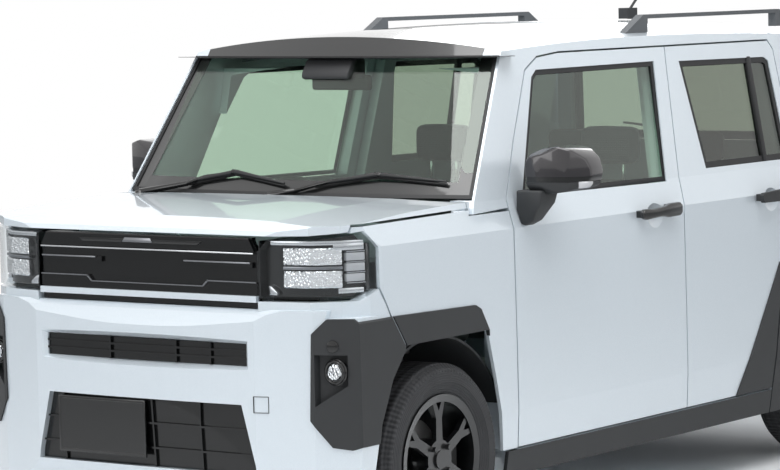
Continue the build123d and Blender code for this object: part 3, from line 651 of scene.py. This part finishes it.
def make_bumper_fittings():
    """Blank plate, tow cover, fog lamps and round sensors."""
    plate = block((-340, -1692, 328), (8, -1684, 503), bevel=2)
    only(plate)
    bpy.ops.object.mode_set(mode="EDIT")
    bpy.ops.mesh.select_all(action="DESELECT")
    bpy.ops.object.mode_set(mode="OBJECT")
    for face in plate.data.polygons:
        face.select = face.normal.y < -0.9 and face.area > 0.02
    bpy.ops.object.mode_set(mode="EDIT")
    bpy.ops.mesh.inset(thickness=6 * MM, depth=0)
    bpy.ops.mesh.inset(thickness=2 * MM, depth=-1.5 * MM)
    bpy.ops.object.mode_set(mode="OBJECT")
    dress(plate, "blank_number_plate", GLOSS_BLACK)
    brackets = [
        block((x, -1686, z), (x + 10, -1668, z + 20), bevel=1) for z in (380, 470) for x in (-300, -48)
    ]
    dress(joined(brackets), "plate_brackets", GRAINED)
    # A raised line round the tow cover: its corners, its half width, and how far it stands out and goes in
    corners = [(424, 490), (472, 490), (472, 538), (424, 538)]
    half, out, inside = 0.9, 1.6, 1.2
    frame_bars = []
    for (x0, z0), (x1, z1) in zip(corners, corners[1:] + corners[:1]):
        low = (min(x0, x1) - half, -out, min(z0, z1) - half)
        high = (max(x0, x1) + half, inside, max(z0, z1) + half)
        frame_bars.append(block(low, high, bevel=0))
    cover_line = joined(frame_bars)
    bumper_slant = math.atan2(52, 182)
    turned(cover_line, (448, 0, 0), bumper_slant, "Z", to=(448, -1679, 0))
    dress(cover_line, "tow_cover_line", GRAINED)
    # The sensor looks out square to the corner piece's slanted face
    outward = Vector((66, -123, 0)).normalized()
    sensor_place = Vector((666, -1610, 691))
    sensor = [
        rod(sensor_place - outward * 8, sensor_place + outward * 3, 18, bevel=2),
        rod(sensor_place, sensor_place + outward * 5, 11, bevel=1),
    ]
    dress(joined(sensor), "parking_sensor_left", GLOSS_BLACK, paired=True)
    bezel = joined([ring((668, -1606, 614), (0, 1, 0), 32, 5), ring((668, -1600, 614), (0, 1, 0), 37, 4)])
    dress(bezel, "fog_lamp_bezel_left", GLOSS_BLACK, paired=True)
    bowl = rod((668, -1604, 614), (668, -1611, 614), 27, 22, sides=24)
    dress(bowl, "fog_lamp_reflector_left", REFLECTOR, angle=10, paired=True)
    lens = rod((668, -1606, 614), (668, -1616, 614), 28, 18, sides=32, bevel=3)
    dress(lens, "fog_lamp_lens_left", CLEAR_LENS, paired=True)


# The way that the windscreen faces
SCREEN_FACING = (0, -0.83, 0.55)


def make_window_trim():
    """Seals round the door glass, bars in the rear doors, and borders on screen and tailgate glass."""
    for side, sign in (("left", 1), ("right", -1)):
        for place, width in (("front", 17), ("rear", 20)):
            seal = pane_border(f"{place}_door_glass_{side}", (sign, 0, 0.17), width, lift=5, thickness=9)
            dress(seal, f"{place}_window_seal_{side}", SEAL, body=f"{place}_door_{side}")
    # The glass leans in by 71 mm over 394 mm of height
    lean = math.atan(-71 / 394)
    for side, sign in (("left", 1), ("right", -1)):
        middle = 655 * sign
        divider = block((middle - 10, 908, 1086), (middle + 10, 934, 1462), bevel=3)
        turned(divider, (middle, 0, 1275), sign * lean, "Y")
        dress(divider, f"rear_window_bar_{side}", SEAL, body=f"rear_door_{side}")
    moulding = pane_border("windscreen", SCREEN_FACING, 13, lift=5, thickness=8)
    dress(moulding, "windscreen_moulding", SEAL)
    frit = pane_border("windscreen", SCREEN_FACING, 60, lift=1.2, thickness=1.6)
    dress(frit, "windscreen_border", FRIT)
    rear_frit = pane_border("tailgate_glass", (0, 1, 0.2), 34, lift=1.2, thickness=1.6)
    dress(rear_frit, "tailgate_glass_border", FRIT, body="tailgate")


# Wipers as places on the windscreen: the arm's pivot, knee and elbow, then the blade's two ends and its middle
# between them
WIPERS = [
    (
        "right",
        (-585, -985, 1072), (-412, -950, 1108), (-345, -942, 1131),
        (-412, -944, 1113), (-215, -944, 1148), (5, -970, 1117),
    ),
    (
        "left",
        (-30, -1008, 1074), (57, -983, 1096), (190, -958, 1129),
        (126, -968, 1117), (348, -932, 1149), (593, -905, 1130),
    ),
]


def make_wipers():
    """Two parked wipers: a cap and a tapered arm, and a blade of a bow over a strip."""
    for side, pivot, knee, elbow, inner, middle, outer in WIPERS:
        hub, centre, half_joint = Vector(pivot), Vector(middle), Vector((14, 0, 0))
        arm = [
            rod(hub - Vector((0, 6, 12)), hub + Vector((0, -3, 12)), 20, 15, bevel=3),
            rod(hub + Vector((0, -4, 6)), knee, 13, 9, sides=8, bevel=2),
            rod(knee, elbow, 8, 6, sides=8, bevel=1),
            rod(elbow, middle, 6, 5, sides=8, bevel=1),
            rod(centre - half_joint, centre + half_joint, 10, 8, sides=8, bevel=2),
        ]
        dress(joined(arm), f"wiper_arm_{side}", GLOSS_BLACK)
        blade = [
            rod(inner, middle, 6, 9, sides=8, bevel=1),
            rod(middle, outer, 9, 4, sides=8, bevel=1),
        ]
        strip = [Vector(point) + Vector((0, 2, -9)) for point in (inner, middle, outer)]
        blade += [rod(a, b, 4, sides=8, bevel=0) for a, b in zip(strip, strip[1:])]
        dress(joined(blade), f"wiper_blade_{side}", SEAL)


# Left mirror in front view, as (distance across, height) in millimetres
MIRROR_SHELL = [
    (752, 1086), (745, 1120), (745, 1180), (762, 1207), (800, 1224), (850, 1231), (896, 1218),
    (926, 1190), (936, 1160), (938, 1130), (924, 1104), (880, 1088), (820, 1080),
]
MIRROR_GLASS = [
    (762, 1096), (758, 1195), (800, 1214), (850, 1220), (905, 1196), (922, 1150), (912, 1110), (850, 1094),
]
MIRROR_FOOT = [(724, 984), (740, 979), (772, 996), (808, 1050), (812, 1092), (716, 1092), (716, 1030)]


def mirror_form():
    """The mirror head's rounded form, with its front swept back towards the outer end."""
    form = slab(MIRROR_SHELL, "y", -694, -536, bevel=0)
    cut(form, (850, -680, 1150), (0.30, -0.95, 0))
    cut(form, (915, -635, 1150), (0.78, -0.62, 0))
    cut(form, (790, -690, 1205), (-0.1, -0.70, 0.72))
    cut(form, (790, -690, 1100), (-0.05, -0.75, -0.66))
    soften(form, 13, 4)
    return form


def make_mirrors():
    """Door mirrors: enamelled cap, gloss band, grained lower shell, turn lamp, glass and foot."""
    cap = mirror_form()
    cut(cap, (0, 0, 1134), (0, 0, -1))
    band = mirror_form()
    cut(band, (0, 0, 1133.5), (0, 0, 1))
    cut(band, (0, 0, 1118), (0, 0, -1))
    shrink(band, (845, -610, 1125), (0.985, 0.975, 1))
    lower = mirror_form()
    cut(lower, (0, 0, 1117.5), (0, 0, 1))
    glass = slab(MIRROR_GLASS, "y", -538, -533, bevel=1)
    slants = (((915, -640, 1110), (0.7, -0.7, 0)), ((925, -620, 1100), (0.75, 0, -0.66)))
    lamp = block((872, -640, 1098), (934, -590, 1119), bevel=4, cuts=slants)
    foot = slab(MIRROR_FOOT, "y", -704, -606, bevel=0)
    cut(foot, (730, -704, 1030), (0, -0.96, -0.26))
    cut(foot, (730, -640, 990), (0, 0.93, -0.36))
    soften(foot, 6, 3)
    made = []
    for piece, name, look in (
        (cap, "mirror_cap_left", CAP_BLACK),
        (band, "mirror_band_left", GLOSS_BLACK),
        (lower, "mirror_lower_shell_left", GRAINED),
        (glass, "mirror_glass_left", SILVER_GLASS),
        (lamp, "mirror_turn_lamp_left", LAMP_WHITE),
        (foot, "mirror_foot_left", GRAINED),
    ):
        made.append(dress(piece, name, look, body="front_door_left", angle=40, paired=True))
    for one, side in zip(made[0], ("left", "right")):
        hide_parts(f"front_door_fittings_{side}")


# Door handle seen from the side, as (distance along, height)
HANDLE = [
    (-14, 968), (-10, 954), (6, 947), (60, 950), (110, 952), (150, 946), (222, 947), (236, 957), (235, 984),
    (220, 993), (160, 992), (130, 984), (60, 980), (0, 983), (-10, 978),
]


def make_door_handles():
    """Grip bars with their two feet on the front doors. The rear doors' handles are solids."""
    grip = slab(HANDLE, "x", 745, 765, bevel=6, segments=3)
    feet = [
        block((726, -8, 954), (752, 24, 978), bevel=3),
        block((726, 170, 952), (752, 230, 988), bevel=3),
    ]
    dress(joined([grip, *feet]), "front_door_handle_left", GLOSS_BLACK, body="front_door_left", paired=True)


def make_cabin():
    """Inside mirror, camera housing, dashboard vents and screen, and the steering wheel's pad."""
    front = ((0, -742, 1460), SCREEN_FACING)
    housing = block((-96, -742, 1440), (96, -640, 1508), bevel=10, cuts=(front,))
    dress(housing, "camera_housing", DASH_PLASTIC)
    mirror = [
        block((-122, -652, 1402), (112, -626, 1452), bevel=9, segments=3),
        rod((0, -640, 1450), (0, -650, 1480), 8),
    ]
    dress(joined(mirror), "inside_mirror", DASH_PLASTIC)
    vents = [block((x - 60, -566, 925), (x + 60, -546, 975), bevel=4) for x in (-520, -80, 80, 520)]
    dress(joined(vents), "dash_vents", GLOSS_BLACK)
    screen = block((-110, -560, 985), (110, -545, 1050), bevel=4)
    hood = block((-470, -640, 975), (-240, -548, 1020), bevel=12, segments=3)
    dress(joined([screen, hood]), "dash_screen_and_hood", DASH_PLASTIC)
    centre_pad = rod((-355, -395, 930), (-355, -420, 941), 50, 44, bevel=4)
    dress(centre_pad, "steering_wheel_pad", LEATHER, body="steering_wheel")


# Padded seat parts: how far the block stays inside its bounds before it swells, in millimetres, then the grid
# in metres, the cloth simulation's pressure and frames, and a seam's half width and depth in metres
PAD_MARGIN = 12
PAD_GRID = 0.012
PAD_PRESSURE = 4.0
PAD_FRAMES = 20
SEAM_REACH = 0.016
SEAM_DEPTH = 0.007


def pad(low, high, bulge, lean=0.0, sew=()):
    """A padded seat part: a block blown up by cloth simulation, by the bulge at most, then sewn."""
    piece = block([v + PAD_MARGIN for v in low], [v - PAD_MARGIN for v in high], bevel=26, segments=3)
    if lean:
        turned(piece, (0, low[1], low[2]), lean, "X")
    modify(piece, "REMESH", mode="VOXEL", voxel_size=PAD_GRID)
    rest = [v.co.copy() for v in piece.data.vertices]
    only(piece)
    cloth = piece.modifiers.new("cloth", "CLOTH")
    cloth.settings.use_pressure = True
    cloth.settings.uniform_pressure_force = PAD_PRESSURE
    cloth.settings.effector_weights.gravity = 0
    cloth.point_cache.frame_start = 1
    cloth.point_cache.frame_end = PAD_FRAMES
    for step in range(1, PAD_FRAMES + 1):
        bpy.context.scene.frame_set(step)
    bpy.ops.object.modifier_apply(modifier="cloth")
    bpy.context.scene.frame_set(1)
    cap = bulge * MM
    for vertex, place in zip(piece.data.vertices, rest):
        move = vertex.co - place
        if move.length > cap:
            vertex.co = place + move.normalized() * cap
    for axis, places in sew:
        for vertex in piece.data.vertices:
            near = min(abs(vertex.co[axis] - place * MM) for place in places)
            if near < SEAM_REACH:
                vertex.co -= vertex.normal * SEAM_DEPTH * (1 - near / SEAM_REACH)
    modify(piece, "SUBSURF", levels=1, render_levels=1)
    return piece


def make_seats():
    """Front seats and rear bench with headrests, padded and sewn, replacing the plain seat blocks."""
    made = []
    for side, middle in (("right", -355), ("left", 355)):
        sewn = ((0, (middle - 130, middle + 130)),)
        cushion = pad((middle - 245, -330, 360), (middle + 245, 200, 470), 22, sew=sewn)
        made.append(dress(cushion, f"front_cushion_{side}", WOVEN))
        back = pad((middle - 240, 170, 455), (middle + 240, 275, 1075), 22, lean=-0.21, sew=sewn)
        made.append(dress(back, f"front_backrest_{side}", WOVEN))
        head = pad((middle - 125, 385, 1090), (middle + 125, 480, 1245), 12)
        made.append(dress(head, f"front_headrest_{side}", WOVEN))
        posts = joined([rod((x, 425, 1040), (x, 430, 1110), 6) for x in (middle - 55, middle + 55)])
        dress(posts, f"headrest_posts_{side}", SILVER)
        base = block((middle - 190, -290, 262), (middle + 190, 180, 372), bevel=14)
        dress(base, f"seat_base_{side}", DASH_PLASTIC)
    bench = pad((-600, 560, 440), (600, 970, 560), 22, sew=((0, (-300, 0, 300)),))
    made.append(dress(bench, "rear_cushion", WOVEN))
    rear_back = pad((-500, 960, 470), (500, 1070, 1050), 22, lean=-0.19, sew=((0, (-250, 0, 250)),))
    made.append(dress(rear_back, "rear_backrest", WOVEN))
    for side, middle in (("right", -270), ("left", 270)):
        head = pad((middle - 120, 1120, 1050), (middle + 120, 1210, 1192), 12)
        made.append(dress(head, f"rear_headrest_{side}", WOVEN))
    for piece in made:
        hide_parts("seats")


def make_wheel_details():
    """Wheel nuts, plain hub caps, brake discs or drums, and tyre valves."""
    for place, y in AXLES:
        wheel = f"wheel_{place}_left"
        nuts = []
        for degrees in (45, 135, 225, 315):
            angle = math.radians(degrees)
            spot = (y + 50 * math.cos(angle), AXLE_HEIGHT + 50 * math.sin(angle))
            nuts.append(rod((690, *spot), (706, *spot), 9, 7, sides=6, bevel=1))
        dress(joined(nuts), f"wheel_nuts_{place}_left", SILVER, body=wheel, angle=20, paired=True)
        hub_cap = rod((690, y, AXLE_HEIGHT), (712, y, AXLE_HEIGHT), 27, 24, sides=32, bevel=3)
        dress(hub_cap, f"hub_cap_{place}_left", GLOSS_BLACK, body=wheel, paired=True)
        if place == "front":
            disc = rod((604, y, AXLE_HEIGHT), (614, y, AXLE_HEIGHT), 118, sides=48, bevel=1)
            dress(disc, "brake_disc_front_left", BRAKE_STEEL, body=wheel, paired=True)
        else:
            drum = rod((590, y, AXLE_HEIGHT), (622, y, AXLE_HEIGHT), 112, sides=48, bevel=3)
            dress(drum, "brake_drum_rear_left", CAST_IRON, body=wheel, paired=True)
        valve = rod((694, y - 128, AXLE_HEIGHT + 92), (706, y - 126, AXLE_HEIGHT + 90), 4, 3, sides=10)
        dress(valve, f"tyre_valve_{place}_left", SEAL, body=wheel, paired=True)


def make_rear_fittings():
    """Blank rear plate, tailgate garnish, high brake lamp and rear wiper."""
    plate = block((-165, 1694, 640), (165, 1700, 805), bevel=2)
    dress(plate, "blank_rear_plate", GLOSS_BLACK, body="tailgate")
    garnish = block((-330, 1676, 850), (330, 1700, 900), bevel=8, segments=3)
    dress(garnish, "tailgate_garnish", GLOSS_BLACK, body="tailgate")
    brake_lamp = block((-130, 1555, 1492), (130, 1580, 1510), bevel=4)
    dress(brake_lamp, "high_brake_lamp", RED_LENS, body="tailgate")
    wiper = [
        rod((0, 1672, 1098), (0, 1690, 1100), 18, 14, bevel=3),
        rod((0, 1682, 1100), (-230, 1665, 1165), 8, 5, sides=8),
        rod((-60, 1664, 1150), (-360, 1664, 1180), 6, 5, sides=8),
    ]
    dress(joined(wiper), "rear_wiper", GLOSS_BLACK, body="tailgate")


def make_roof_details():
    """A collar under the antenna."""
    collar = rod((-92, 1330, 1590), (-92, 1330, 1604), 34, 24, bevel=3)
    dress(collar, "antenna_collar", GRAINED)


def seen_directly(tree, path):
    """One for what the camera sees, also through glass, and zero for light from other bounces."""
    return result(tree, "MAXIMUM", path.outputs["Is Camera Ray"], path.outputs["Is Transmission Ray"])


def floor_look():
    # Painted floor: pale and dull under the car with its shadow, and plain white further out
    material, tree, place = start("painted_floor")
    distance = add(tree, "VectorMath", {"operation": "LENGTH"}, i0=place)
    far = add(tree, "MapRange", Value=distance.outputs["Value"], i1=2.6, i2=5.0)
    speckle = add(tree, "TexNoise", Vector=place, Scale=3.0)
    tint = add(tree, "ValToRGB", Fac=speckle.outputs["Fac"])
    tint.color_ramp.elements[0].color = linear("#E9EAEB")
    tint.color_ramp.elements[1].color = linear("#ECEDEE")
    paint = add(tree, "BsdfPrincipled", Base_Color=tint.outputs["Color"], Roughness=0.8)
    white = add(tree, "Emission", Color=(1, 1, 1, 1), Strength=1.0)
    path = add(tree, "LightPath")
    share = result(tree, "MULTIPLY", seen_directly(tree, path), far.outputs[0])
    mix = add(tree, "MixShader", i0=share, i1=paint.outputs[0], i2=white.outputs[0])
    return end(material, tree, mix.outputs[0])


def light_stage():
    """A pale floor, a white background for the camera and soft lamps like a studio's."""
    deselect()
    bpy.ops.mesh.primitive_plane_add(size=160, location=(0, 0, 0))
    floor = bpy.context.object
    floor.name = "floor"
    floor.data.materials.append(floor_look())
    world = bpy.data.worlds.new("studio")
    bpy.context.scene.world = world
    world.use_nodes = True
    tree = world.node_tree
    tree.nodes.clear()
    dim = add(tree, "Background", Color=linear("#E3E8EC"), Strength=0.42)
    white = add(tree, "Background", Color=(1, 1, 1, 1), Strength=1.0)
    path = add(tree, "LightPath")
    shown = result(tree, "MAXIMUM", seen_directly(tree, path), path.outputs["Is Glossy Ray"])
    mix = add(tree, "MixShader", i0=shown, i1=dim.outputs[0], i2=white.outputs[0])
    tree.links.new(mix.outputs[0], add(tree, "OutputWorld").inputs["Surface"])
    # Name, place and aim in metres, size in metres and power in watts
    lamps = (
        ("ceiling_softbox", (1.0, -1.5, 5.0), (0, 0, 0.8), 5.0, 330),
        ("front_softbox", (-1.5, -7.0, 3.2), (0, 0, 0.9), 3.5, 90),
        ("side_softbox", (7.0, -1.0, 3.4), (0, 0, 0.8), 4.0, 40),
        ("rear_softbox", (-3.0, 7.0, 4.0), (0, 0, 0.8), 4.0, 110),
    )
    for name, place, aim, size, power in lamps:
        lamp = bpy.data.lights.new(name, "AREA")
        lamp.size = size
        lamp.energy = power
        holder = bpy.data.objects.new(name, lamp)
        bpy.context.scene.collection.objects.link(holder)
        holder.location = place
        holder.rotation_euler = (Vector(aim) - Vector(place)).to_track_quat("-Z", "Y").to_euler()
    bpy.context.scene.view_settings.view_transform = "Standard"


place_camera()
dress_nodes()
make_headlamps()
make_grille_trim()
make_bumper_fittings()
make_window_trim()
make_wipers()
make_mirrors()
make_door_handles()
make_cabin()
make_seats()
make_wheel_details()
make_rear_fittings()
make_roof_details()
light_stage()
